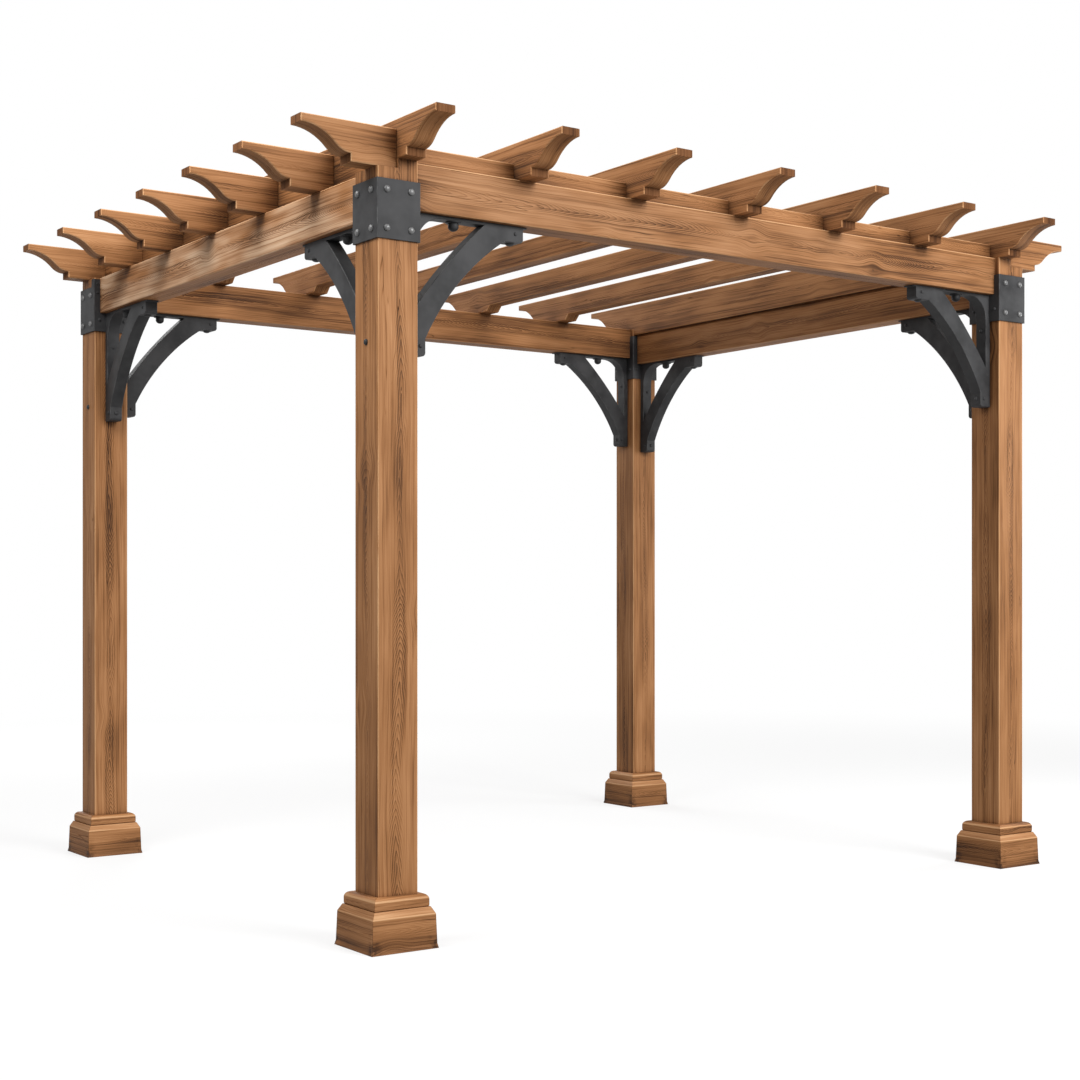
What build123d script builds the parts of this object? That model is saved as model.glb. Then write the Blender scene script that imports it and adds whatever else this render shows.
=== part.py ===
# Free-standing timber pergola: four posts on moulded bases, beams held in steel corner
# sleeves with arched gussets, and a roof of rafters and side tails with scroll-cut ends.
# Millimetres, +Z up. The origin is on the ground in the middle of the four posts,
# X runs along the front beam and Y from the front beam to the rear one.
import os
from math import atan2, degrees, sin

from build123d import *

# Posts
post_size = 140
post_spacing_x = 2785
post_spacing_y = 2305
edge_round = 5

# Moulded base round the foot of each post: margins stand out from the post's faces
skirt_foot_margin = 46
skirt_low_margin = 42.5
skirt_low_height = 14
skirt_shoulder_margin = 39.5
skirt_shoulder_height = 104
skirt_edge_round = 3
skirt_height = 125
skirt_ledge = 3
cap_margin = 25
cap_height = 39
cap_nose_radius = 18
cap_heel_radius = 5

# Beams: the side pair sits lower than the front and rear pair
beam_thickness = 98
beam_height = 143
front_beam_top = 2380
side_beam_drop = 30

# Rafters and side tails, cut from the same board
rafter_count = 7
rafter_thickness = 70
rafter_height = 120
rafter_overhang = 235
tail_count = 7
tail_overhang = 272
tail_inset = 8
relief_rise = 26
relief_setback = 40
board_chamfer = 3

# Scroll at the end of a rafter or tail: a hollow from the tip, then a round belly to a step
tip_height = 24
step_height = 25
scroll_length = 165
hollow_share = 0.7

# Blocking boards between the rafters on the front beam
blocking_height = 56
blocking_thickness = 40
blocking_setback = 26

# Steel sleeve round the head of each post
sleeve_wall = 6
sleeve_bend_radius = 4
sleeve_height = 180
sleeve_below_front_beam = 104
slot_clearance = 0.5
ear_below_side_beam = 6

# Arched steel gusset between a post and a beam
gusset_width = 50
gusset_reach = 418
gusset_drop = 440
top_leg_thickness = 10
side_leg_thickness = 24
lip_length = 14
lip_thickness = 5
end_block_length = 70
end_block_depth = 52
foot_block_depth = 54
foot_block_height = 55
block_round = 12
gusset_chamfer = 1.5
arch_bow = 30
brace_top_reach = 270
brace_side_reach = 285
brace_bow = 10
web_radius = 90

# Places that follow from the sizes above
post_x = post_spacing_x / 2
post_y = post_spacing_y / 2
front_beam_bottom = front_beam_top - beam_height
side_beam_top = front_beam_top - side_beam_drop
side_beam_bottom = side_beam_top - beam_height
beam_length_x = post_spacing_x - post_size
beam_length_y = post_spacing_y - post_size
sleeve_bottom = front_beam_bottom - sleeve_below_front_beam
sleeve_top = sleeve_bottom + sleeve_height
sleeve_outer = post_size + 2 * sleeve_wall
slot_width = beam_thickness + 2 * slot_clearance
ear_top = side_beam_top - ear_below_side_beam
skirt_foot_width = post_size + 2 * skirt_foot_margin
cap_width = post_size + 2 * cap_margin
outer_rafter_x = post_x - post_size / 4
rafter_pitch = 2 * outer_rafter_x / (rafter_count - 1)
rafter_half_length = post_y + beam_thickness / 2 + rafter_overhang
relief_half_length = post_y - post_size / 2 - relief_setback
tail_root_x = outer_rafter_x + rafter_thickness / 2
tail_tip_x = post_x + beam_thickness / 2 + tail_overhang
outer_tail_y = post_y + post_size / 2 - tail_inset - rafter_thickness / 2
tail_pitch = 2 * outer_tail_y / (tail_count - 1)

# The scroll's two tangent arcs start and end level, which gives the slope where they meet
scroll_drop = rafter_height - tip_height - step_height
steep_angle = 2 * atan2(scroll_drop, scroll_length)
hollow_radius = hollow_share * scroll_length / sin(steep_angle)
belly_radius = (1 - hollow_share) * scroll_length / sin(steep_angle)

rows = {"front": -1, "rear": 1}
sides = {"left": -1, "right": 1}
up = Vector(0, 0, 1)

os.makedirs("parts", exist_ok=True)


def save(builder, name):
    builder.part.label = name
    export_step(builder.part, f"parts/{name}.step")


def scroll_end(tip_x):
    """Underside of a board end, from the tip inwards to the foot of the step."""
    tip_bottom = (tip_x, rafter_height - tip_height)
    Line((tip_x, rafter_height), tip_bottom)
    hollow = JernArc(tip_bottom, (-1, 0), hollow_radius, degrees(steep_angle))
    belly = JernArc(hollow @ 1, hollow % 1, belly_radius, -degrees(steep_angle))
    Line(belly @ 1, (tip_x - scroll_length, 0))


# Posts: the inner half of the head stands up to carry the outermost rafter
for row, y_sign in rows.items():
    for side, x_sign in sides.items():
        with BuildPart() as post:
            with BuildSketch():
                with Locations((x_sign * post_x, y_sign * post_y)):
                    Rectangle(post_size, post_size)
            extrude(amount=front_beam_top)
            fillet(post.edges().filter_by(Axis.Z), edge_round)
            with BuildSketch(Plane.XY.offset(side_beam_top)):
                with Locations((x_sign * (post_x + post_size / 4), y_sign * post_y)):
                    Rectangle(post_size / 2, post_size)
            extrude(amount=side_beam_drop, mode=Mode.SUBTRACT)
        save(post, f"post_{row}_{side}")

# Base skirts and caps: one moulded outline run both ways, so that the corners are mitred
for row, y_sign in rows.items():
    for side, x_sign in sides.items():
        foot = Vector(x_sign * post_x, y_sign * post_y, 0)
        across = Plane(origin=foot, x_dir=(1, 0, 0), z_dir=(0, -1, 0))
        along = Plane(origin=foot, x_dir=(0, 1, 0), z_dir=(1, 0, 0))

        with BuildPart() as skirt:
            for outline_plane, mode in ((across, Mode.ADD), (along, Mode.INTERSECT)):
                with BuildSketch(outline_plane) as skirt_outline:
                    with BuildLine():
                        Polyline(
                            (0, 0),
                            (skirt_foot_width / 2, 0),
                            (post_size / 2 + skirt_low_margin, skirt_low_height),
                            (post_size / 2 + skirt_shoulder_margin, skirt_shoulder_height),
                            (cap_width / 2 + skirt_ledge, skirt_height),
                            (0, skirt_height),
                        )
                        mirror(about=Plane.YZ)
                    make_face()
                    fillet(skirt_outline.vertices().group_by(Axis.Y)[-2], skirt_edge_round)
                extrude(amount=skirt_foot_width / 2, both=True, mode=mode)
            with BuildSketch(Plane(foot)):
                Rectangle(post_size, post_size)
            extrude(amount=skirt_height, mode=Mode.SUBTRACT)
        save(skirt, f"base_skirt_{row}_{side}")

        with BuildPart() as cap:
            for outline_plane, mode in ((across, Mode.ADD), (along, Mode.INTERSECT)):
                with BuildSketch(outline_plane) as cap_outline:
                    with Locations((0, skirt_height + cap_height / 2)):
                        Rectangle(cap_width, cap_height)
                    fillet(cap_outline.vertices().group_by(Axis.Y)[-1], cap_nose_radius)
                    fillet(cap_outline.vertices().group_by(Axis.Y)[0], cap_heel_radius)
                extrude(amount=cap_width / 2, both=True, mode=mode)
            with BuildSketch(Plane(foot).offset(skirt_height)):
                Rectangle(post_size, post_size)
            extrude(amount=cap_height, mode=Mode.SUBTRACT)
        save(cap, f"base_cap_{row}_{side}")

# Front and rear beams, from post face to post face
for row, y_sign in rows.items():
    with BuildPart() as long_beam:
        with BuildSketch(Plane.YZ):
            with Locations((y_sign * post_y, front_beam_bottom + beam_height / 2)):
                RectangleRounded(beam_thickness, beam_height, edge_round)
        extrude(amount=beam_length_x / 2, both=True)
    save(long_beam, f"beam_{row}")

# Side beams
for side, x_sign in sides.items():
    with BuildPart() as side_beam:
        with BuildSketch(Plane.XZ):
            with Locations((x_sign * post_x, side_beam_bottom + beam_height / 2)):
                RectangleRounded(beam_thickness, beam_height, edge_round)
        extrude(amount=beam_length_y / 2, both=True)
    save(side_beam, f"beam_{side}")

# Sleeves: a square collar with a slot for each beam, and folded ears that rise beside the side beam.
# The front pair has its ears on the inner corner alone.
for row, y_sign in rows.items():
    for side, x_sign in sides.items():
        head = Vector(x_sign * post_x, y_sign * post_y, 0)
        wall_reach = (post_size + sleeve_wall) / 2
        with BuildPart() as sleeve:
            with BuildSketch(Plane(head).offset(sleeve_bottom)):
                RectangleRounded(sleeve_outer, sleeve_outer, sleeve_bend_radius)
                Rectangle(post_size, post_size, mode=Mode.SUBTRACT)
            extrude(amount=ear_top - sleeve_bottom)
            with BuildSketch(Plane(head).offset(sleeve_top)):
                with Locations((0, y_sign * (sleeve_outer - slot_width) / 4)):
                    Rectangle(sleeve_outer, (sleeve_outer + slot_width) / 2)
                if row == "front":
                    with Locations((x_sign * (sleeve_outer - slot_width) / 4, 0)):
                        Rectangle((sleeve_outer + slot_width) / 2, sleeve_outer)
            extrude(amount=ear_top - sleeve_top, mode=Mode.SUBTRACT)
            with BuildSketch(Plane(head).offset(front_beam_bottom)):
                with Locations((-x_sign * wall_reach, 0)):
                    Rectangle(sleeve_wall, slot_width)
            extrude(amount=ear_top - front_beam_bottom, mode=Mode.SUBTRACT)
            with BuildSketch(Plane(head).offset(side_beam_bottom)):
                with Locations((0, -y_sign * wall_reach)):
                    Rectangle(slot_width, sleeve_wall)
            extrude(amount=ear_top - side_beam_bottom, mode=Mode.SUBTRACT)
        save(sleeve, f"sleeve_{row}_{side}")

# Gussets: one under each beam end, drawn outwards from the post face and down from the beam
for row, y_sign in rows.items():
    for side, x_sign in sides.items():
        corner = Vector(x_sign * post_x, y_sign * post_y, 0)
        gusset_seats = {
            f"gusset_{row}_{side}": (front_beam_bottom, Vector(-x_sign, 0, 0)),
            f"gusset_{side}_{row}": (side_beam_bottom, Vector(0, -y_sign, 0)),
        }
        for name, (beam_bottom, inward) in gusset_seats.items():
            seat = Plane(
                origin=corner + inward * (post_size / 2) + up * beam_bottom,
                x_dir=inward,
                z_dir=inward.cross(up),
            )
            sleeve_reach = beam_bottom - sleeve_bottom
            with BuildPart() as gusset:
                with BuildSketch(seat):
                    with BuildLine():
                        top_leg = Polyline(
                            (sleeve_wall, 0),
                            (gusset_reach + lip_length, 0),
                            (gusset_reach + lip_length, -lip_thickness),
                            (gusset_reach, -lip_thickness),
                            (gusset_reach, block_round - end_block_depth),
                        )
                        end_round = JernArc(top_leg @ 1, (0, -1), block_round, -90)
                        arch_start = (gusset_reach - end_block_length, -end_block_depth)
                        Line(end_round @ 1, arch_start)
                        arch_end = (foot_block_depth, foot_block_height - gusset_drop)
                        SagittaArc(arch_start, arch_end, -arch_bow)
                        foot_edge = Line(arch_end, (foot_block_depth, block_round - gusset_drop))
                        foot_round = JernArc(foot_edge @ 1, (0, -1), block_round, -90)
                        Polyline(
                            foot_round @ 1,
                            (0, -gusset_drop),
                            (0, -sleeve_reach),
                            (sleeve_wall, -sleeve_reach),
                            (sleeve_wall, 0),
                        )
                    make_face()
                    with BuildLine():
                        top_edge = Line(
                            (side_leg_thickness + web_radius, -top_leg_thickness),
                            (brace_top_reach, -top_leg_thickness),
                        )
                        brace_edge = SagittaArc(
                            top_edge @ 1, (side_leg_thickness, -brace_side_reach), -brace_bow
                        )
                        side_edge = Line(
                            brace_edge @ 1, (side_leg_thickness, -top_leg_thickness - web_radius)
                        )
                        TangentArc(side_edge @ 1, top_edge @ 0, tangent=(0, 1))
                    make_face(mode=Mode.SUBTRACT)
                extrude(amount=gusset_width / 2, both=True)
                side_faces = gusset.faces().filter_by(Axis(seat.origin, seat.z_dir))
                chamfer(side_faces.edges(), gusset_chamfer)
            save(gusset, name)

# Rafters, numbered from the left: relieved underneath between the beams, apart from the outermost
# pair, which is deeper there and bears on the side beams
for number in range(rafter_count):
    middle = Vector(number * rafter_pitch - outer_rafter_x, 0, front_beam_top)
    scroll_foot = (rafter_half_length - scroll_length, 0)
    with BuildPart() as rafter:
        with BuildSketch(Plane(origin=middle, x_dir=(0, 1, 0), z_dir=(1, 0, 0))):
            with BuildLine():
                Line((0, rafter_height), (rafter_half_length, rafter_height))
                scroll_end(rafter_half_length)
                if number in (0, rafter_count - 1):
                    Polyline(
                        scroll_foot,
                        (beam_length_y / 2, 0),
                        (beam_length_y / 2, -side_beam_drop),
                        (0, -side_beam_drop),
                    )
                else:
                    Polyline(
                        scroll_foot,
                        (relief_half_length, 0),
                        (relief_half_length - relief_rise, relief_rise),
                        (0, relief_rise),
                    )
                mirror(about=Plane.YZ)
            make_face()
        extrude(amount=rafter_thickness / 2, both=True)
        chamfer(rafter.faces().filter_by(Axis.X).edges(), board_chamfer)
    save(rafter, f"rafter_{number + 1}")

# Side tails: short boards on the outer half of a side beam, against the outermost rafter
for side, x_sign in sides.items():
    outward = Vector(x_sign, 0, 0)
    tail_planes = [
        Plane(
            origin=(0, number * tail_pitch - outer_tail_y, side_beam_top),
            x_dir=outward,
            z_dir=outward.cross(up),
        )
        for number in range(tail_count)
    ]
    with BuildPart() as tails:
        with BuildSketch(*tail_planes):
            with BuildLine():
                Polyline(
                    (tail_tip_x - scroll_length, 0),
                    (tail_root_x, 0),
                    (tail_root_x, rafter_height),
                    (tail_tip_x, rafter_height),
                )
                scroll_end(tail_tip_x)
            make_face()
        extrude(amount=rafter_thickness / 2, both=True)
        chamfer(tails.faces().filter_by(Axis.Y).edges(), board_chamfer)
    save(tails, f"tails_{side}")

# Blocking boards between the rafters, on top of the front beam
blocking_y = -post_y - beam_thickness / 2 + blocking_setback + blocking_thickness / 2
with BuildPart() as blocking:
    with BuildSketch(Plane.XY.offset(front_beam_top)):
        with Locations((0, blocking_y)):
            with GridLocations(rafter_pitch, 0, rafter_count - 1, 1):
                Rectangle(rafter_pitch - rafter_thickness, blocking_thickness)
    extrude(amount=blocking_height)
    chamfer(blocking.edges().filter_by(Axis.X), board_chamfer)
save(blocking, "blocking_front")
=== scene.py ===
from math import radians

import bmesh
import bpy
from mathutils import Matrix, Vector


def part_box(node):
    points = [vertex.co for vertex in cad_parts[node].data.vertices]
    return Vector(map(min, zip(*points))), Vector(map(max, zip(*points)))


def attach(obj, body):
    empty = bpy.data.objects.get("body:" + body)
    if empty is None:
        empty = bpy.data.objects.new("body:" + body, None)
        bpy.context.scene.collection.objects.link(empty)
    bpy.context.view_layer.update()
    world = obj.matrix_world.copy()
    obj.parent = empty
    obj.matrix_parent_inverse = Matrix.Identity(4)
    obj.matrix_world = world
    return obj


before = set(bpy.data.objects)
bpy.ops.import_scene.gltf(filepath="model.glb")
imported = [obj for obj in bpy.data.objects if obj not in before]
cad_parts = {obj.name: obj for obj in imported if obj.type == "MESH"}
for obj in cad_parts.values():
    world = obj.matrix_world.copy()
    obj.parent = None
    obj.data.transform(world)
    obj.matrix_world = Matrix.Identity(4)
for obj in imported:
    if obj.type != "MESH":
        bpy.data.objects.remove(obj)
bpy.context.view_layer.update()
print("frame loaded:", len(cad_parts), "nodes")

rows = {"front": -1, "rear": 1}  # sign of y
sides = {"left": -1, "right": 1}  # sign of x
xAxis, yAxis, zAxis = 0, 1, 2
up = Vector((0, 0, 1))


# A socket with arithmetic: an expression adds its nodes to the material

class Wire:
    def __init__(self, socket):
        self.socket = socket

    def node(self, kind, settings, values, output=0):
        tree = self.socket.id_data
        made = tree.nodes.new(kind)
        for key, value in settings.items():
            if key == "stops":
                while len(made.color_ramp.elements) < len(value):
                    made.color_ramp.elements.new(1.0)
                for element, (position, colour) in zip(made.color_ramp.elements, value):
                    element.position = position
                    element.color = colour
            else:
                setattr(made, key, value)
        for key, value in values.items():
            if isinstance(value, Wire):
                tree.links.new(value.socket, made.inputs[key])
            else:
                made.inputs[key].default_value = value
        return Wire(made.outputs[output])

    def math(self, operation, *others):
        values = {index: value for index, value in enumerate((self, *others))}
        return self.node("ShaderNodeMath", {"operation": operation}, values)

    def __add__(self, other):
        return self.math("ADD", other)

    __radd__ = __add__

    def __mul__(self, other):
        return self.math("MULTIPLY", other)

    __rmul__ = __mul__

    def __sub__(self, other):
        return self.math("SUBTRACT", other)

    def __rsub__(self, other):
        return self.math("MULTIPLY_ADD", -1.0, other)

    def __truediv__(self, other):
        return self.math("DIVIDE", other)

    def __pow__(self, other):
        return self.math("POWER", other)

    def __gt__(self, other):
        return self.math("GREATER_THAN", other)

    def __abs__(self):
        return self.math("ABSOLUTE")

    def floor(self):
        return self.math("FLOOR")

    def fraction(self):
        return self.math("FRACT")

    def most(self, other):
        return self.math("MAXIMUM", other)

    def ramp(self, low, high):  # smooth step from 0 at low to 1 at high
        values = {"Value": self, "From Min": low, "From Max": high}
        return self.node("ShaderNodeMapRange", {"interpolation_type": "SMOOTHSTEP"}, values)

    def choose(self, whenOff, whenOn):  # a number: whenOff at 0, whenOn at 1
        return self.node("ShaderNodeMix", {"data_type": "FLOAT"}, {0: self, 2: whenOff, 3: whenOn})

    def tint(self, whenOff, whenOn, blend="MIX"):  # a colour
        settings = {"data_type": "RGBA", "blend_type": blend}
        return self.node("ShaderNodeMix", settings, {0: self, 6: whenOff, 7: whenOn}, 2)

    def point(self, y, z):
        return self.node("ShaderNodeCombineXYZ", {}, {0: self, 1: y, 2: z})

    def other(self, output):  # another output of the same node
        return Wire(self.socket.node.outputs[output])

    def parts(self):
        first = self.node("ShaderNodeSeparateXYZ", {}, {0: self})
        return [first, first.other(1), first.other(2)]

    def noise(self, detail, roughness, scale=1.0):
        values = {"Vector": self, "Scale": scale, "Detail": detail, "Roughness": roughness}
        return self.node("ShaderNodeTexNoise", {"noise_dimensions": "3D"}, values)

    def bump(self, strength, distance):
        values = {"Height": self, "Strength": strength, "Distance": distance}
        return self.node("ShaderNodeBump", {}, values)


def newMaterial(name):
    material = bpy.data.materials.new(name)
    material.use_nodes = True
    shader = material.node_tree.nodes["Principled BSDF"]
    coordinates = material.node_tree.nodes.new("ShaderNodeTexCoord")
    place = Wire(coordinates.outputs["Object"])
    facing = Wire(coordinates.outputs["Normal"])
    return material, shader, place, facing


def feed(shader, **sockets):
    for name, wire in sockets.items():
        shader.id_data.links.new(wire.socket, shader.inputs[name.replace("_", " ")])


def colour(red, green, blue):  # screen values from 0 to 255 as a linear colour
    shares = [value / 255 for value in (red, green, blue)]
    return [s / 12.92 if s <= 0.04045 else ((s + 0.055) / 1.055) ** 2.4 for s in shares] + [1.0]


def dress(node, material):  # give a CAD node its finish
    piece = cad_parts[node]
    piece.data.materials.clear()
    piece.data.materials.append(material)


# Stained softwood. along and across are metres on one face, seed tells faces and boards apart

woodLook = {
    # tones from 0 to 1, the tone of plain wood, and the tints of end grain and of the pale bleach with
    # painted sheen
    "tones": ((0.0, colour(56, 34, 18)), (0.25, colour(108, 70, 40)), (0.5, colour(155, 106, 65)),
              (0.75, colour(180, 129, 86)), (1.0, colour(206, 160, 116))),
    "plainTone": 0.65, "endTone": colour(186, 178, 172), "paleTone": colour(214, 184, 154),
    "roughness": 0.6, "sheen": 0.16, "bumpDepth": 0.0018, "bumpStrength": 0.55,
    # a mark's length along the grain and width across it, and a layer apart from the other marks
    "layerStep": 4.37,
    "wobble": (1 / 8, 1 / 30, 0.0), "jag": (1 / 48, 1 / 130, 1.3), "wearAndHighlight": (1 / 9, 1 / 60, 0.0),
    "streak": (0.9, 0.017, 0.0), "thread": (0.55, 0.0048, 5.5), "fibre": (0.12, 0.002, 2.2),
    "blotch": (0.36, 0.1, 0.0), "check": (1 / 2.1, 1 / 44, 9.1), "checkPatch": (1 / 3.1, 1 / 17, 4.2),
    # slow changes along a board: length, step from seed to seed, and layer
    "drift": (1 / 1.1, 2.9, 3.3), "run": (1 / 1.4, 5.1, 8.1), "swell": (1 / 2.6, 3.3, 1.7),
    # how far the grain wanders to the side, in metres
    "driftSide": 0.03, "wobbleSide": 0.007, "middleSide": 0.02,
    # knots, in shares of their pitch
    "knotPitch": 0.3, "knotEdge": (0.02, 0.04), "knotHalo": (0.04, 0.128), "knotPush": (0.02, 0.3),
    "knotAside": 0.75, "knotRagged": 0.03, "knotClears": 0.6,
    # growth rings in a strip up the middle of a face
    "ringPitch": 0.0165, "ringSteep": 2.3, "ringTip": 0.003, "ringSlope": 0.45, "ringRun": 0.85,
    "ringWobble": 0.024, "ringJag": 0.006, "ringSharp": 2.3,
    "stripNarrow": 0.012, "stripWide": 0.034, "stripWobble": 0.016,
    "stripFade": (0.35, 1.0), "stripFaint": 0.4,
    "heartHalf": (0.0005, 0.0026), "heartJag": 0.009, "heartDark": 0.36,
    # where a noise counts as a mark
    "swellFrom": (0.3, 0.7), "streakFrom": (0.28, 0.58), "threadFrom": (0.3, 0.54),
    "checkHalf": (0.0, 0.013), "checkFrom": (0.62, 0.72), "paleFrom": (0.32, 0.62),
    # what each mark does to the tone, the height and the roughness
    "dark": {"streak": 0.19, "thread": 0.22, "check": 0.34, "knot": 0.3, "halo": 0.05, "paintedShade": 0.27},
    "spread": {"fibre": 0.36, "blotch": 0.7, "wearAndHighlight": 0.375}, "leastWearAndHighlight": 0.15,
    "depth": {"fibre": -0.15, "streak": 0.1, "thread": 0.16, "ring": 0.22, "check": 0.8, "knot": 0.2},
    "dull": {"thread": 0.08, "check": 0.2, "end": 0.16, "edge": -0.06},
    "stays": {"thread": 0.75, "streak": 0.6},  # share of a mark that the bleach and painted sheen leave
    # painted shade where pieces meet and in recesses, from ambient occlusion
    "shadeReach": 0.13, "shadeSamples": 6, "shadeFrom": (0.4, 0.95),
    # strength of the rings
    "postFigure": 0.54, "beamFigure": 0.4, "boardFigure": 0.22,
}


def marks(along, across, layer, size, detail=1.0, roughness=0.5):
    length, width, apart = size
    return (along / length).point(across / width, layer + apart).noise(detail, roughness)


def sway(along, seed, size, detail=1.0, roughness=0.5):
    length, seedStep, layer = size
    return (along / length).point(seed * seedStep, layer).noise(detail, roughness)


def woodGrain(material, shader, along, across, seed, edge, figure, dirtAndPaintedLight=0.0, endGrain=None, bleachAndSheen=0.0):
    look = woodLook
    dark, spread, depth, dull = look["dark"], look["spread"], look["depth"], look["dull"]
    layer = seed * look["layerStep"]
    drift = sway(along, seed, look["drift"]) - 0.5
    wobble = marks(along, across, layer, look["wobble"], detail=2.0, roughness=0.6) - 0.5
    jag = marks(along, across, layer, look["jag"]) - 0.5

    # knots push the grain aside
    knotPlace = (along / look["knotPitch"]).point(across / look["knotPitch"], layer)
    knotGap = knotPlace.node("ShaderNodeTexVoronoi", {}, {"Vector": knotPlace, "Scale": 1.0})
    knotAcross = across - knotGap.other("Position").parts()[1] * look["knotPitch"]
    knotBend = 1.0 - knotGap.ramp(*look["knotPush"])
    grain = across + drift * look["driftSide"] + wobble * look["wobbleSide"]
    grain = grain - knotAcross * knotBend * look["knotAside"]
    knot = 1.0 - (knotGap + wobble * look["knotRagged"]).ramp(*look["knotEdge"])
    knotHalo = 1.0 - knotGap.ramp(*look["knotHalo"])

    streaks = marks(along, grain, layer, look["streak"], detail=2.0)
    threads = marks(along, grain, layer, look["thread"], detail=2.0, roughness=0.55)
    fibre = marks(along, grain, layer, look["fibre"])
    blotch = marks(along, across, layer, look["blotch"], detail=2.0)
    darkStreaks = 1.0 - streaks.ramp(*look["streakFrom"])
    darkThreads = 1.0 - threads.ramp(*look["threadFrom"])

    # growth rings cut flat: pointed arches and ovals up the middle of the face, with a jagged heart line
    run = sway(along, seed, look["run"], detail=2.0, roughness=0.4) - 0.5
    middle = grain + drift * look["middleSide"]
    arch = (middle * middle + look["ringTip"] ** 2) ** 0.5 * look["ringSteep"]
    rise = along * look["ringSlope"] + run * look["ringRun"] + arch
    rise = rise + wobble * look["ringWobble"] + jag * look["ringJag"]
    ring = (rise / look["ringPitch"]).fraction() ** look["ringSharp"]
    heart = (1.0 - abs(middle + jag * look["heartJag"]).ramp(*look["heartHalf"])) * look["heartDark"]
    swell = sway(along, seed, look["swell"]).ramp(*look["swellFrom"])
    stripWidth = swell.choose(look["stripNarrow"], look["stripWide"])
    inStrip = 1.0 - ((abs(middle) + wobble * look["stripWobble"]) / stripWidth).ramp(*look["stripFade"])
    arches = ring.most(heart) * inStrip * swell.choose(look["stripFaint"], 1.0)
    arches = arches * (1.0 - knotBend * look["knotClears"])

    # drying checks
    split = marks(along, grain, layer, look["check"]) - 0.5
    splitShows = marks(along, across, layer, look["checkPatch"]).ramp(*look["checkFrom"])
    checks = (1.0 - abs(split).ramp(*look["checkHalf"])) * splitShows

    # painted shade darkens where pieces meet and in recesses, from ambient occlusion, and edges wear pale
    # with a painted highlight
    settings = {"samples": look["shadeSamples"]}
    openness = along.node("ShaderNodeAmbientOcclusion", settings, {"Distance": look["shadeReach"]}, "AO")
    paintedShade = 1.0 - openness.ramp(*look["shadeFrom"])
    # edges wear pale, partly a painted highlight along the arrises
    wearAndHighlight = marks(along, across, layer, look["wearAndHighlight"], detail=2.0) * spread["wearAndHighlight"] + look["leastWearAndHighlight"]

    tone = look["plainTone"] - darkStreaks * dark["streak"] - darkThreads * dark["thread"]
    tone = tone + (fibre - 0.5) * spread["fibre"] + (blotch - 0.5) * spread["blotch"] + edge * wearAndHighlight
    tone = tone - arches * figure - checks * dark["check"] - knot * dark["knot"] - knotHalo * dark["halo"]
    # painted shade in recesses, then the caller's dirt, painted shade and painted highlights
    tone = tone - paintedShade * dark["paintedShade"] - dirtAndPaintedLight
    stain = tone.node("ShaderNodeValToRGB", {"stops": look["tones"]}, {0: tone})
    gloss = look["roughness"] + darkThreads * dull["thread"] + checks * dull["check"] + edge * dull["edge"]
    # outer faces bleached pale, partly painted sheen
    if bleachAndSheen:
        stays = look["stays"]
        pale = blotch.ramp(*look["paleFrom"]) * (1.0 - paintedShade) * (1.0 - arches)
        pale = pale * (1.0 - darkThreads * stays["thread"]) * (1.0 - darkStreaks * stays["streak"])
        stain = (pale * bleachAndSheen).tint(stain, look["paleTone"])
    if endGrain:
        stain = endGrain.tint(stain, look["endTone"], "MULTIPLY")
        gloss = gloss + endGrain * dull["end"]
    sunk = fibre * depth["fibre"] + darkStreaks * depth["streak"] + darkThreads * depth["thread"]
    sunk = sunk + arches * depth["ring"] + checks * depth["check"] + knot * depth["knot"]
    relief = (0.0 - sunk).bump(look["bumpStrength"], look["bumpDepth"])
    feed(shader, Base_Color=stain, Roughness=gloss, Normal=relief)
    shader.inputs["Specular IOR Level"].default_value = look["sheen"]
    return material


# Square timber: the face is told by its normal, and boards that share a node by their pitch

barLook = {
    "boardSeed": 1.618, "faceSeed": 0.37, "sideSeed": 0.71,
    # shares of the normal that tell edges, ends, tops and the outside of the frame
    "edgeFrom": (0.05, 0.4), "edgeTo": (0.75, 0.98), "endFrom": (0.86, 0.97), "topFrom": (0.4, 0.6),
    "outFrom": (0.4, 0.6), "inFrom": (-0.4, -0.6),
    # painted shade darkens the rafters all over, most of all on their sides and undersides between the
    # beams
    "rafterShade": 0.06, "middleShade": 0.1, "middleFade": (0.95, 1.05),
    # beams bleach pale outside with painted sheen, painted shade darkens their inner faces, and a painted
    # highlight runs along the upper arris
    "bleachAndSheenLong": 0.1, "bleachAndSheenSide": 0.85, "insideShade": 0.06, "longDark": 0.07,
    "arrisHighlightFade": (-0.005, -0.002), "arrisHighlight": 0.7,
}


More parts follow.
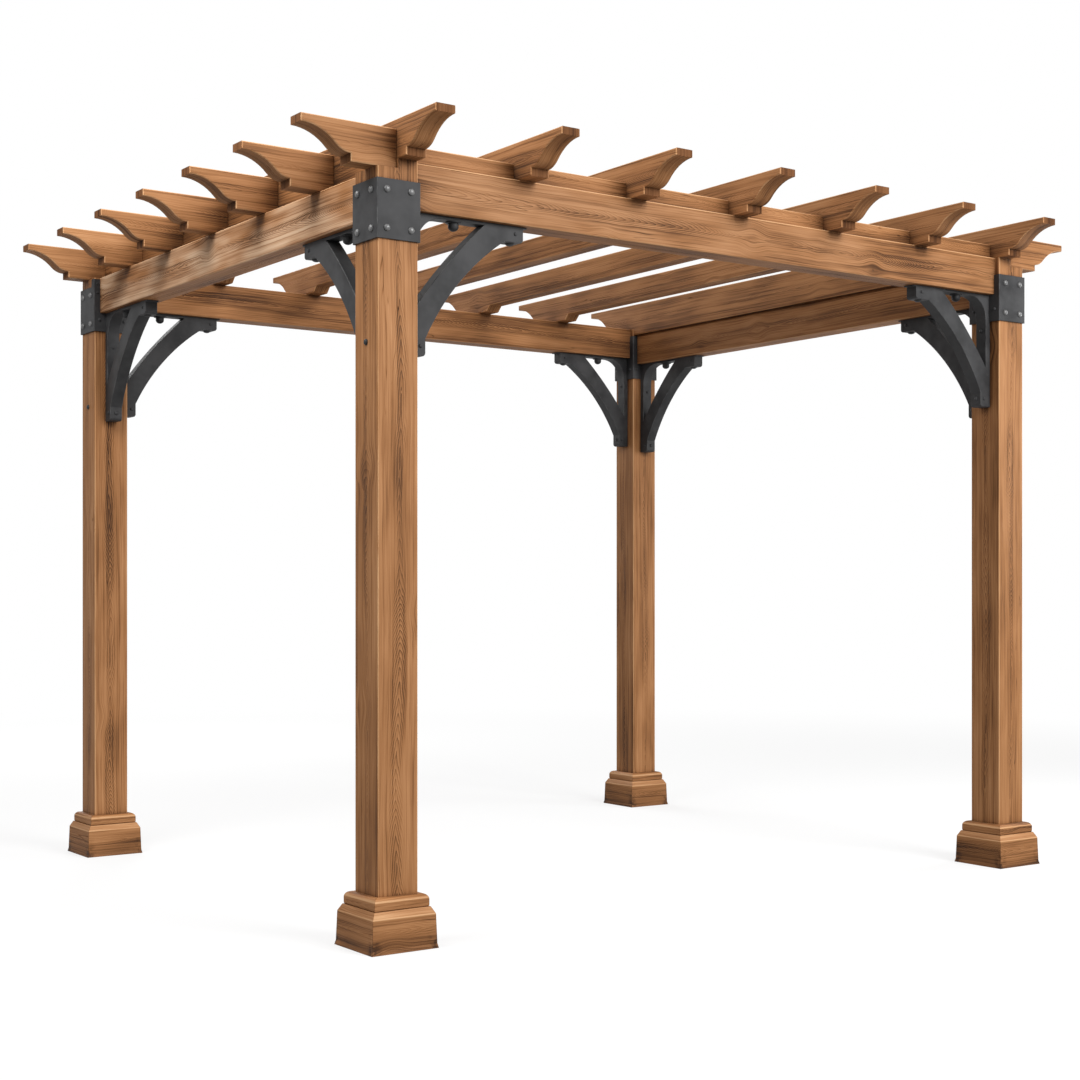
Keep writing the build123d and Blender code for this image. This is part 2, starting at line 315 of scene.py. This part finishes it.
def stainBar(node, grainAxis, thickAxis, seed, figure, repeat=None, bleachAndSheen=0.0, shadedRafter=False):
    # repeat: the pitch of the boards, its axis, and how many pitches before the centre a step starts
    look = barLook
    low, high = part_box(node)
    centre = (low + high) / 2
    material, shader, place, facing = newMaterial("wood_" + node)
    wideAxis = xAxis + yAxis + zAxis - grainAxis - thickAxis
    spot = place.parts()
    normal = facing.parts()
    middles = list(centre)
    if repeat:
        pitch, axis, shift = repeat
        number = ((spot[axis] - centre[axis]) / pitch + shift).floor()
        seed = number * look["boardSeed"] + seed
        middles[axis] = number * pitch + centre[axis]
    along = spot[grainAxis] - centre[grainAxis]
    onThick = abs(normal[thickAxis]) > 0.5  # a broad side face, normal to the thickness
    across = onThick.choose(spot[thickAxis] - middles[thickAxis], spot[wideAxis] - middles[wideAxis])
    outward = onThick.choose(normal[wideAxis], normal[thickAxis]) > 0.0
    seed = onThick * look["faceSeed"] + outward * look["sideSeed"] + seed
    tilt = abs(normal[thickAxis])
    edge = tilt.ramp(*look["edgeFrom"]) * (1.0 - tilt.ramp(*look["edgeTo"]))
    endGrain = abs(normal[grainAxis]).ramp(*look["endFrom"])
    dirtAndPaintedLight = 0.0
    # painted shade: the rafters darker all over, more on their sides and undersides between the beams
    if shadedRafter:
        inMiddle = 1.0 - abs(along).ramp(*look["middleFade"])
        belowTop = 1.0 - normal[zAxis].ramp(*look["topFrom"])
        dirtAndPaintedLight = inMiddle * belowTop * look["middleShade"] + look["rafterShade"]
    # outer faces bleached pale with painted sheen
    if bleachAndSheen:
        outwardness = normal[thickAxis] * (1 if centre[thickAxis] > 0 else -1)  # 1 on the outside of the frame
        outside = outwardness.ramp(*look["outFrom"])
        # painted highlight along the upper arris of the outer faces
        paintedArrisLight = (spot[zAxis] - high.z).ramp(*look["arrisHighlightFade"]) * outside
        # painted shade on the beams' inner faces, less the painted highlight of the upper arris
        dirtAndPaintedLight = outwardness.ramp(*look["inFrom"]) * look["insideShade"] - paintedArrisLight * look["arrisHighlight"]
        if grainAxis == xAxis:  # the long pair is darker all over
            dirtAndPaintedLight = dirtAndPaintedLight + look["longDark"]
        bleachAndSheen = outside * bleachAndSheen
    dress(node, woodGrain(material, shader, along, across, seed, edge, figure, dirtAndPaintedLight, endGrain, bleachAndSheen))


# Moulded bases: boards run round the post and meet at mitred corners

baseLook = {
    # dark mitre joints, darker towards the foot, and dirt in the foot's corners
    "skirtMitre": 0.0016, "capMitre": 0.0012, "mitreDirt": 0.34,
    "footHeight": 0.09, "footDarker": 0.1,
    "cornerReach": 0.04, "cornerDirt": 0.36, "cloudScale": 30.0, "cloudFrom": (0.42, 0.62),
    # painted highlights along the shoulder and the nose
    "shoulderHeight": 0.104, "noseHeight": 0.153, "arrisHighlightFade": (0.00128, 0.0032), "arrisHighlight": 0.42,
    # edges wear pale with a painted highlight above the foot
    "edgeFrom": (0.06, 0.3), "edgeTo": (0.6, 0.9), "edgeWearAndHighlight": 0.5, "wearAndHighlightHeights": (0.016, 0.032),
}


def stainBase(node, seed, mitreHalf):
    look = baseLook
    low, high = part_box(node)
    centre = (low + high) / 2
    material, shader, place, facing = newMaterial("wood_" + node)
    spot = place.parts()
    normal = facing.parts()
    x = spot[xAxis] - centre.x
    y = spot[yAxis] - centre.y
    onX = abs(normal[xAxis]) > abs(normal[yAxis])
    along = onX.choose(x, y)
    across = spot[zAxis] - centre.z
    outward = onX.choose(normal[yAxis], normal[xAxis]) > 0.0
    seed = onX * barLook["faceSeed"] + outward * barLook["sideSeed"] + seed
    toMitre = abs(abs(x) - abs(y))
    mitre = 1.0 - toMitre.ramp(0.0, mitreHalf)
    corner = 1.0 - toMitre.ramp(0.0, look["cornerReach"])
    foot = 1.0 - spot[zAxis].ramp(0.0, look["footHeight"])
    cloud = place.noise(detail=2.0, roughness=0.6, scale=look["cloudScale"]).ramp(*look["cloudFrom"])
    # dark mitre joints, darker towards the foot, and dirt in the foot's corners
    dirtAndPaintedLight = mitre * look["mitreDirt"] + foot * look["footDarker"] + foot * corner * cloud * look["cornerDirt"]
    for height in (look["shoulderHeight"], look["noseHeight"]):  # painted highlights along the shoulder and the nose
        paintedArrisLight = 1.0 - abs(spot[zAxis] - height).ramp(*look["arrisHighlightFade"])
        dirtAndPaintedLight = dirtAndPaintedLight - paintedArrisLight * look["arrisHighlight"]
    slope = abs(normal[zAxis])
    # edges wear pale with a painted highlight above the foot
    edge = slope.ramp(*look["edgeFrom"]) * (1.0 - slope.ramp(*look["edgeTo"]))
    edge = edge * spot[zAxis].ramp(*look["wearAndHighlightHeights"]) * look["edgeWearAndHighlight"]
    dress(node, woodGrain(material, shader, along, across, seed, edge, woodLook["boardFigure"], dirtAndPaintedLight))


# Matt charcoal coat on the steelwork, worn lighter on its edges with a painted highlight, and the plainer
# zinc-grey of the bolts

steelLook = {
    "coat": colour(66, 66, 67), "shade": colour(35, 35, 36), "worn": colour(98, 98, 98),
    "metal": 0.0, "roughness": 0.57, "sheen": 0.2,
}
boltLook = {
    "coat": colour(120, 120, 120), "shade": colour(92, 92, 92), "worn": colour(160, 160, 160),
    "metal": 0.35, "roughness": 0.4, "sheen": 0.35,
}
coatPattern = {
    "cloudScale": 7.0, "cloudFrom": (0.3, 0.7), "cloudGloss": 0.22,
    "gritScale": 420.0, "gritFrom": (0.45, 0.65), "gritGloss": 0.12,
    "gritStrength": 0.25, "gritDepth": 0.0004,
    "scuffScale": 34.0, "scuffFrom": (0.62, 0.78), "scuffShows": 0.35,
    # edges worn lighter with a painted highlight
    "edgeScale": 26.0, "edgeFrom": (0.3, 0.7), "edgeHighlightShows": 0.75,
    "slantFrom": (0.2, 0.5), "slantTo": (0.85, 0.98),
}


def coatedSteel(name, look, edgeAxis=None):
    # edgeAxis: the axis whose share of the normal tells a rounded edge
    pattern = coatPattern
    material, shader, place, facing = newMaterial(name)
    cloud = place.noise(detail=3.0, roughness=0.55, scale=pattern["cloudScale"])
    grit = place.noise(detail=2.0, roughness=0.6, scale=pattern["gritScale"])
    patches = place.noise(detail=4.0, roughness=0.7, scale=pattern["scuffScale"])
    scuffAndHighlight = patches.ramp(*pattern["scuffFrom"]) * grit.ramp(*pattern["gritFrom"]) * pattern["scuffShows"]
    # edges worn lighter, partly a painted highlight
    if edgeAxis is not None:
        slant = abs(facing.parts()[edgeAxis])
        edge = slant.ramp(*pattern["slantFrom"]) * (1.0 - slant.ramp(*pattern["slantTo"]))
        edgeWornAndLit = place.noise(detail=3.0, roughness=0.6, scale=pattern["edgeScale"])
        scuffAndHighlight = scuffAndHighlight.most(edge * edgeWornAndLit.ramp(*pattern["edgeFrom"]) * pattern["edgeHighlightShows"])
    shade = cloud.ramp(*pattern["cloudFrom"]).tint(look["shade"], look["coat"])
    coat = scuffAndHighlight.tint(shade, look["worn"])
    gloss = look["roughness"] + (cloud - 0.5) * pattern["cloudGloss"] + (grit - 0.5) * pattern["gritGloss"]
    relief = grit.bump(pattern["gritStrength"], pattern["gritDepth"])
    feed(shader, Base_Color=coat, Roughness=gloss, Normal=relief)
    shader.inputs["Metallic"].default_value = look["metal"]
    shader.inputs["Specular IOR Level"].default_value = look["sheen"]
    return material


# Every CAD node gets its finish, and every timber a seed of its own

steel = coatedSteel("charcoalSteel", steelLook)
sleeveSteel = coatedSteel("sleeveSteel", steelLook, xAxis)
gussetSteelX = coatedSteel("gussetSteelX", steelLook, yAxis)
gussetSteelY = coatedSteel("gussetSteelY", steelLook, xAxis)
boltSteel = coatedSteel("boltSteel", boltLook)

seeds = {"first": 1.0, "step": 2.31, "skirt": 0.5, "cap": 0.9, "tails": 0.4, "blocking": 0.8}
roof = {"rafters": 7, "tails": 7, "tailStart": 0.5, "blockStart": 0.0}  # starts: see repeat in stainBar

seed = seeds["first"]
for row in rows:
    for side in sides:
        seed += seeds["step"]
        stainBar(f"post_{row}_{side}", zAxis, xAxis, seed, woodLook["postFigure"])
        stainBase(f"base_skirt_{row}_{side}", seed + seeds["skirt"], baseLook["skirtMitre"])
        stainBase(f"base_cap_{row}_{side}", seed + seeds["cap"], baseLook["capMitre"])
        dress(f"sleeve_{row}_{side}", sleeveSteel)
        dress(f"gusset_{row}_{side}", gussetSteelX)
        dress(f"gusset_{side}_{row}", gussetSteelY)
for row in rows:
    seed += seeds["step"]
    stainBar(f"beam_{row}", xAxis, yAxis, seed, woodLook["beamFigure"], bleachAndSheen=barLook["bleachAndSheenLong"])
boardLow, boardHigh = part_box("rafter_1")
boardThick = boardHigh.x - boardLow.x
boardFigure = woodLook["boardFigure"]
for side in sides:
    seed += seeds["step"]
    stainBar(f"beam_{side}", yAxis, xAxis, seed, woodLook["beamFigure"], bleachAndSheen=barLook["bleachAndSheenSide"])
    low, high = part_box(f"tails_{side}")
    tailPitch = (high.y - low.y - boardThick) / (roof["tails"] - 1)
    tailRepeat = (tailPitch, yAxis, roof["tailStart"])
    stainBar(f"tails_{side}", xAxis, yAxis, seed + seeds["tails"], boardFigure, tailRepeat)
for number in range(1, roof["rafters"] + 1):
    seed += seeds["step"]
    stainBar(f"rafter_{number}", yAxis, xAxis, seed, boardFigure, shadedRafter=True)
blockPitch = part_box("rafter_2")[0].x - boardLow.x
blockRepeat = (blockPitch, xAxis, roof["blockStart"])
stainBar("blocking_front", xAxis, yAxis, seed + seeds["blocking"], boardFigure, blockRepeat)
print("timber and steel finished")


# Fasteners, made once and copied to their places

fastenerMesh = {"roundSteps": 20, "domeSteps": 12, "washerSteps": 24, "bevelSteps": 2, "sharpFrom": 35}


def domedHead(width, height, rim):
    # a low dome on a short straight rim, standing on z = 0
    look = fastenerMesh
    bm = bmesh.new()
    bmesh.ops.create_uvsphere(bm, u_segments=look["roundSteps"], v_segments=look["domeSteps"],
                              radius=width / 2)
    geometry = bm.verts[:] + bm.edges[:] + bm.faces[:]
    bmesh.ops.bisect_plane(bm, geom=geometry, plane_co=(0, 0, 0), plane_no=(0, 0, 1), clear_inner=True)
    bmesh.ops.scale(bm, vec=(1, 1, (height - rim) * 2 / width), verts=bm.verts)
    border = [edge for edge in bm.edges if edge.is_boundary]
    wall = bmesh.ops.extrude_edge_only(bm, edges=border)
    wallVerts = [item for item in wall["geom"] if isinstance(item, bmesh.types.BMVert)]
    bmesh.ops.translate(bm, vec=(0, 0, -rim), verts=wallVerts)
    bmesh.ops.holes_fill(bm, edges=[edge for edge in bm.edges if edge.is_boundary], sides=0)
    bmesh.ops.translate(bm, vec=(0, 0, rim), verts=bm.verts)
    bmesh.ops.recalc_face_normals(bm, faces=bm.faces)
    return bm


def bevelledWasher(width, height, ease):
    look = fastenerMesh
    radius = width / 2
    bm = bmesh.new()
    bmesh.ops.create_cone(bm, cap_ends=True, segments=look["washerSteps"], radius1=radius, radius2=radius,
                          depth=height)
    bmesh.ops.translate(bm, vec=(0, 0, height / 2), verts=bm.verts)
    rims = [edge for edge in bm.edges if abs(edge.verts[0].co.z - edge.verts[1].co.z) < height / 2]
    bmesh.ops.bevel(bm, geom=rims, offset=ease, affect="EDGES", segments=look["bevelSteps"], profile=0.5,
                    material=-1)
    return bm


def fastened(name, sets, material):
    # sets: a shape and the places and directions that it stands at
    joined = bmesh.new()
    for shape, places in sets:
        template = bpy.data.meshes.new("template")
        shape.to_mesh(template)
        for spot, direction in places:
            before = set(joined.verts)
            joined.from_mesh(template)
            added = [vert for vert in joined.verts if vert not in before]
            turn = Vector(direction).to_track_quat("Z", "Y").to_matrix().to_4x4()
            bmesh.ops.transform(joined, matrix=Matrix.Translation(spot) @ turn, verts=added)
        bpy.data.meshes.remove(template)
    mesh = bpy.data.meshes.new(name)
    joined.to_mesh(mesh)
    joined.free()
    for polygon in mesh.polygons:
        polygon.use_smooth = True
    mesh.set_sharp_from_angle(angle=radians(fastenerMesh["sharpFrom"]))
    mesh.materials.append(material)
    piece = bpy.data.objects.new(name, mesh)
    bpy.context.scene.collection.objects.link(piece)
    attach(piece, "root")


# Bolts of a corner sleeve: four on each outer plate, one each side of a gusset, two on an ear

sleeveBolts = {
    "headWidth": 0.0215, "headHeight": 0.0088, "headRim": 0.0018, "sink": 0.0006,
    "plateHeight": 0.18, "sideInset": 0.034, "endInset": 0.032,
    "innerWidth": 0.013, "innerShare": 0.7, "innerReach": 0.052, "innerRise": 0.046,
    "earWidth": 0.009, "earShare": 0.5, "earInset": 0.014, "earDrops": (0.02, 0.055),
}


def sleeveFasteners(row, side):
    look = sleeveBolts
    low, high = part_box(f"sleeve_{row}_{side}")
    middle = (low + high) / 2
    axis = Vector((middle.x, middle.y, 0))
    half = (high.x - low.x) / 2
    out = half - look["sink"]
    outX, outY = Vector((sides[side], 0, 0)), Vector((0, rows[row], 0))
    plateTop = low.z + look["plateHeight"]
    heads, innerHeads, earHeads = [], [], []
    for outward, sideways in ((outX, outY), (outY, outX)):
        for reach in (-1, 1):
            for height in (low.z + look["endInset"], plateTop - look["endInset"]):
                spot = axis + outward * out + sideways * reach * (half - look["sideInset"])
                heads.append((spot + up * height, outward))
        for reach in (-1, 1):
            spot = axis - outward * out + sideways * reach * look["innerReach"]
            innerHeads.append((spot + up * (low.z + look["innerRise"]), -outward))
    for drop in look["earDrops"]:
        for reach in (-1, 1) if row == "rear" else (-1,):  # the front pair has its inner ear alone
            spot = axis - outY * out + outX * reach * (half - look["earInset"])
            earHeads.append((spot + up * (high.z - drop), -outY))
    headHeight, headRim = look["headHeight"], look["headRim"]
    big = domedHead(look["headWidth"], headHeight, headRim)
    small = domedHead(look["innerWidth"], headHeight * look["innerShare"], headRim * look["innerShare"])
    tiny = domedHead(look["earWidth"], headHeight * look["earShare"], headRim * look["earShare"])
    fastened(f"sleeve_bolts_{row}_{side}", [(big, heads)], boltSteel)
    fastened(f"sleeve_screws_{row}_{side}", [(small, innerHeads), (tiny, earHeads)], steel)


# Bolts of a gusset: the sides of both ends, the front of the foot, the upright leg and under the top leg

gussetBolts = {
    "reach": 0.418,  # from the post's face to the end of the top leg
    "headHeight": 0.0052, "headRim": 0.0014, "sink": 0.0005,
    "endWidth": 0.0125, "endIn": 0.03, "endDrop": 0.025,
    "footWidth": 0.0135, "footOut": 0.036, "footRise": 0.032, "footDepth": 0.054, "frontWidth": 0.016,
    "legWidth": 0.013, "legDrop": 0.14, "legThick": 0.024,
    "blockWidth": 0.03, "blockHeight": 0.009, "blockIn": 0.036, "blockDepth": 0.052,
    "nutWidth": 0.034, "nutHeight": 0.026, "nutRim": 0.012, "nutOut": 0.17, "topThick": 0.01,
    "washerWidth": 0.05, "washerHeight": 0.004, "washerEase": 0.0006, "nutSeatShare": 0.8,
    "throughWidth": 0.019, "throughHeight": 0.008,
}


def gussetFasteners(name, gusset, inward, sideways, post):
    look = gussetBolts
    rim, sink = look["headRim"], look["sink"]
    low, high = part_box(gusset)
    postLow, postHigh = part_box(post)
    postMiddle = (postLow + postHigh) / 2
    postHalf = (postHigh.x - postLow.x) / 2
    root = Vector((postMiddle.x, postMiddle.y, 0)) + inward * postHalf
    halfWide = abs((high - low).dot(sideways)) / 2
    footHeight = up * (low.z + look["footRise"])
    endPlace = inward * (look["reach"] - look["endIn"]) + up * (high.z - look["endDrop"])
    footPlace = inward * look["footOut"] + footHeight
    endHeads, footHeads = [], []
    for hand in (-1, 1):
        face = root + sideways * hand * (halfWide - sink)
        endHeads.append((face + endPlace, sideways * hand))
        footHeads.append((face + footPlace, sideways * hand))
    front = root + inward * (look["footDepth"] - sink) + footHeight
    leg = root + inward * (look["legThick"] - sink) + up * (high.z - look["legDrop"])
    under = root + inward * look["nutOut"] + up * (high.z - look["topThick"] + sink)
    nutSeat = under - up * look["washerHeight"] * look["nutSeatShare"]
    block = root + inward * (look["reach"] - look["blockIn"]) + up * (high.z - look["blockDepth"] + sink)
    sets = [
        (domedHead(look["endWidth"], look["headHeight"], rim), endHeads),
        (domedHead(look["footWidth"], look["headHeight"], rim), footHeads),
        (domedHead(look["frontWidth"], look["headHeight"], rim), [(front, inward)]),
        (domedHead(look["legWidth"], look["headHeight"], rim), [(leg, inward)]),
        (bevelledWasher(look["washerWidth"], look["washerHeight"], look["washerEase"]), [(under, -up)]),
        (domedHead(look["nutWidth"], look["nutHeight"], look["nutRim"]), [(nutSeat, -up)]),
        (domedHead(look["blockWidth"], look["blockHeight"], rim), [(block, -up)]),
    ]
    if abs(inward.x) > 0.5:  # the foot's bolt goes right through the post
        through = root - inward * (2 * postHalf - sink) + footHeight
        throughHead = domedHead(look["throughWidth"], look["throughHeight"], rim)
        sets.append((throughHead, [(through, -inward)]))
    fastened(name, sets, steel)


for row, ySign in rows.items():
    for side, xSign in sides.items():
        sleeveFasteners(row, side)
        post = f"post_{row}_{side}"
        alongX, alongY = Vector((-xSign, 0, 0)), Vector((0, -ySign, 0))
        gussetFasteners(f"gusset_bolts_{row}_{side}", f"gusset_{row}_{side}", alongX, alongY, post)
        gussetFasteners(f"gusset_bolts_{side}_{row}", f"gusset_{side}_{row}", alongY, alongX, post)
print("fasteners placed")


# Pale floor, white surround, soft light and the photograph's camera

stageLook = {
    "floorSize": 160.0, "floorDrop": 0.0005, "white": (1.0, 1.0, 1.0, 1.0),
    "floorBounce": (0.3, 0.3, 0.3, 1.0), "floorSeen": (0.95, 0.95, 0.95, 1.0),
    "nearGlow": 0.72, "glowFrom": 3.0, "glowTo": 9.0, "worldFill": 0.33,
}


def seenDirectly(wire):
    # 1 for what the camera, a reflection or a clear surface sees
    flags = [wire.node("ShaderNodeLightPath", {}, {}, name)
             for name in ("Is Camera Ray", "Is Glossy Ray", "Is Transmission Ray")]
    return flags[0].most(flags[1]).most(flags[2])


def makeFloor(look):
    bm = bmesh.new()
    bmesh.ops.create_grid(bm, x_segments=2, y_segments=2, size=look["floorSize"] / 2)
    bmesh.ops.translate(bm, vec=(0, 0, -look["floorDrop"]), verts=bm.verts)
    mesh = bpy.data.meshes.new("floor")
    bm.to_mesh(mesh)
    bm.free()
    floor = bpy.data.objects.new("floor", mesh)
    bpy.context.scene.collection.objects.link(floor)
    material, shader, place = newMaterial("paleFloor")[:3]
    tree = material.node_tree
    direct = seenDirectly(place)
    pale = direct.tint(look["floorBounce"], look["floorSeen"])
    matt = place.node("ShaderNodeBsdfDiffuse", {}, {"Color": pale})
    glow = place.node("ShaderNodeEmission", {}, {"Color": look["white"], "Strength": 1.0})
    away = place.node("ShaderNodeVectorMath", {"operation": "LENGTH"}, {0: place}, "Value")
    glowing = away.ramp(look["glowFrom"], look["glowTo"]).choose(look["nearGlow"], 1.0)
    both = place.node("ShaderNodeMixShader", {}, {0: direct * glowing, 1: matt, 2: glow})
    tree.links.new(both.socket, tree.nodes["Material Output"].inputs["Surface"])
    tree.nodes.remove(shader)
    mesh.materials.append(material)


def makeWorld(look):
    world = bpy.data.worlds.new("studio")
    world.use_nodes = True
    bpy.context.scene.world = world
    background = world.node_tree.nodes["Background"]
    wire = Wire(background.outputs[0])
    strength = seenDirectly(wire).choose(look["worldFill"], 1.0)
    background.inputs["Color"].default_value = look["white"]
    world.node_tree.links.new(strength.socket, background.inputs["Strength"])


lamps = {
    "key": {"place": (1.3, -7.4, 4.9), "aim": (-0.2, 0, 1.5), "size": 4.5, "power": 606.0},
    "fill": {"place": (-3.2, -0.9, 4.2), "aim": (-1.3, -0.3, 2.1), "size": 2.2, "power": 101.0},
    "side": {"place": (3.5, -1.3, 1.9), "aim": (1.3, 1.2, 1.2), "size": 1.8, "power": 42.0},
    "back": {"place": (0.8, 7.5, 4.0), "aim": (0, 0, 1.4), "size": 4.5, "power": 260.0},
}


def makeLamp(name, look):
    data = bpy.data.lights.new(name, "AREA")
    data.shape = "DISK"
    data.size = look["size"]
    data.energy = look["power"]
    lamp = bpy.data.objects.new(name, data)
    bpy.context.scene.collection.objects.link(lamp)
    lamp.location = look["place"]
    toAim = Vector(look["aim"]) - Vector(look["place"])
    lamp.rotation_euler = toAim.to_track_quat("-Z", "Y").to_euler()


view = {
    "place": (-4.0497, -5.7354, 1.0872), "turn": -35.16,
    "lens": 57.895, "sensor": 36.0, "lift": 0.0445,
}


def makeCamera(look):
    data = bpy.data.cameras.new("camera")
    data.sensor_width = look["sensor"]
    data.lens = look["lens"]
    data.shift_y = look["lift"]
    camera = bpy.data.objects.new("camera", data)
    bpy.context.scene.collection.objects.link(camera)
    camera.location = look["place"]
    camera.rotation_euler = (radians(90), 0, radians(look["turn"]))  # level, so uprights stay upright
    bpy.context.scene.camera = camera


makeFloor(stageLook)
makeWorld(stageLook)
for lampName, lampLook in lamps.items():
    makeLamp(lampName, lampLook)
makeCamera(view)
bpy.context.scene.view_settings.view_transform = "Standard"
print("studio set")
